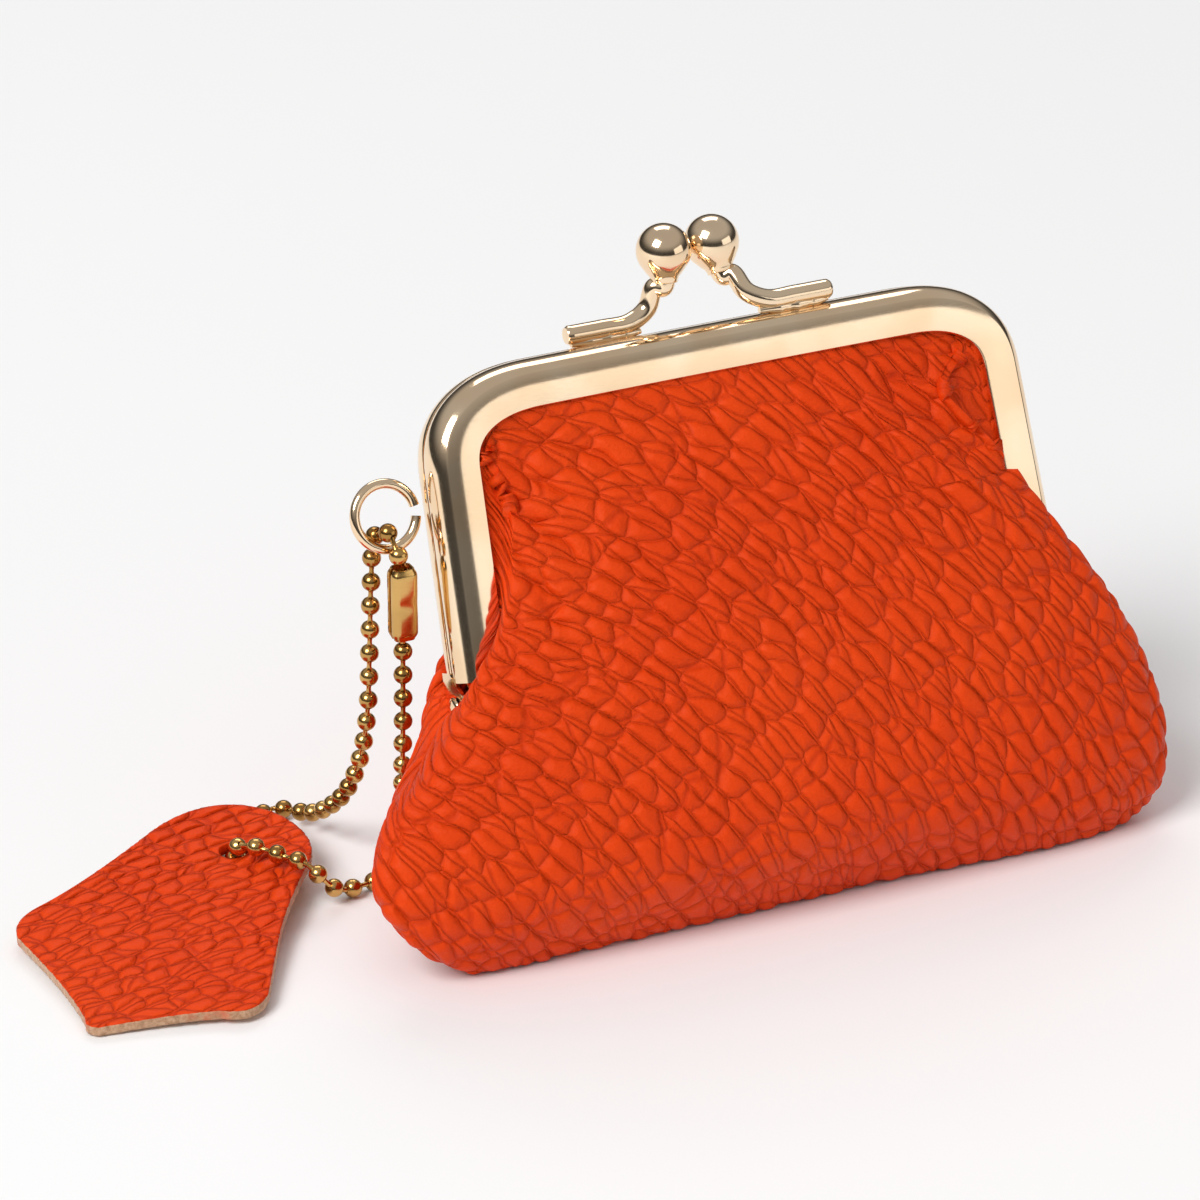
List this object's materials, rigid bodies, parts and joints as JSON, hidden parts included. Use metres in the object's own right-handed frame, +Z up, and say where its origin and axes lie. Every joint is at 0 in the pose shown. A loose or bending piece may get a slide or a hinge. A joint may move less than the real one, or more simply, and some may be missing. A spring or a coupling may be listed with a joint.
{
  "type": "coin purse",
  "caption": "Leather coin purse on a leaning two-part metal kiss-lock frame, with a ball chain and a leather tag at its side.",
  "frame": {"origin": "on the resting plane, straight below the frame's hinge axis, in the middle of the purse's width", "axes": "+X along the hinge to the right, -Y out of the purse's front, +Z up; the frame leans back 22 degrees towards +Y"},
  "size_m": [0.15, 0.0587, 0.0799],
  "materials": {
    "gold_frame": "polished pale gold plating",
    "antique_gold_chain": "darker antique gold plating",
    "orange_leather": "pebbled grain, soft satin",
    "tag_leather": "pebbled grain with raw tan edges and suede back",
    "lining_cloth": "plain woven lining",
    "paper_cord": "twisted paper",
    "sewing_thread": "twisted thread"
  },
  "bodies": {
    "root": {"rear_frame": "gold_frame", "rear_clasp_rod": "gold_frame", "rear_clasp_ball": "gold_frame", "rear_packing_cord": "paper_cord", "hinge_rivet_left": "gold_frame", "hinge_rivet_right": "gold_frame", "charm_ring": "gold_frame", "front_panel_fold": "orange_leather", "front_lining_fold": "lining_cloth", "front_panel_lower": "orange_leather", "front_lining_lower": "lining_cloth", "rear_panel": "orange_leather", "rear_lining": "lining_cloth", "seam_thread": "sewing_thread", "bead_chain": "antique_gold_chain", "chain_connector": "antique_gold_chain"},
    "front_half": {"front_frame": "gold_frame", "front_clasp_rod": "gold_frame", "front_clasp_ball": "gold_frame", "front_packing_cord": "paper_cord", "front_panel_upper": "orange_leather", "front_lining_upper": "lining_cloth"},
    "tag": {"leather_tag": "tag_leather"}
  },
  "joints": [
    {"name": "frame_hinge", "type": "hinge", "parent": "root", "child": "front_half", "pos_m": [0, 0, 0.0289], "axis": [1, 0, 0], "range_deg": [0, 70], "deforming": ["front_panel_fold", "front_lining_fold"]},
    {"name": "tag_swivel", "type": "hinge", "parent": "root", "child": "tag", "pos_m": [-0.06415, 0.021, 0.0045], "axis": [-0.047, -0.047, 0.9978], "range_deg": [-8, 8]}
  ]
}
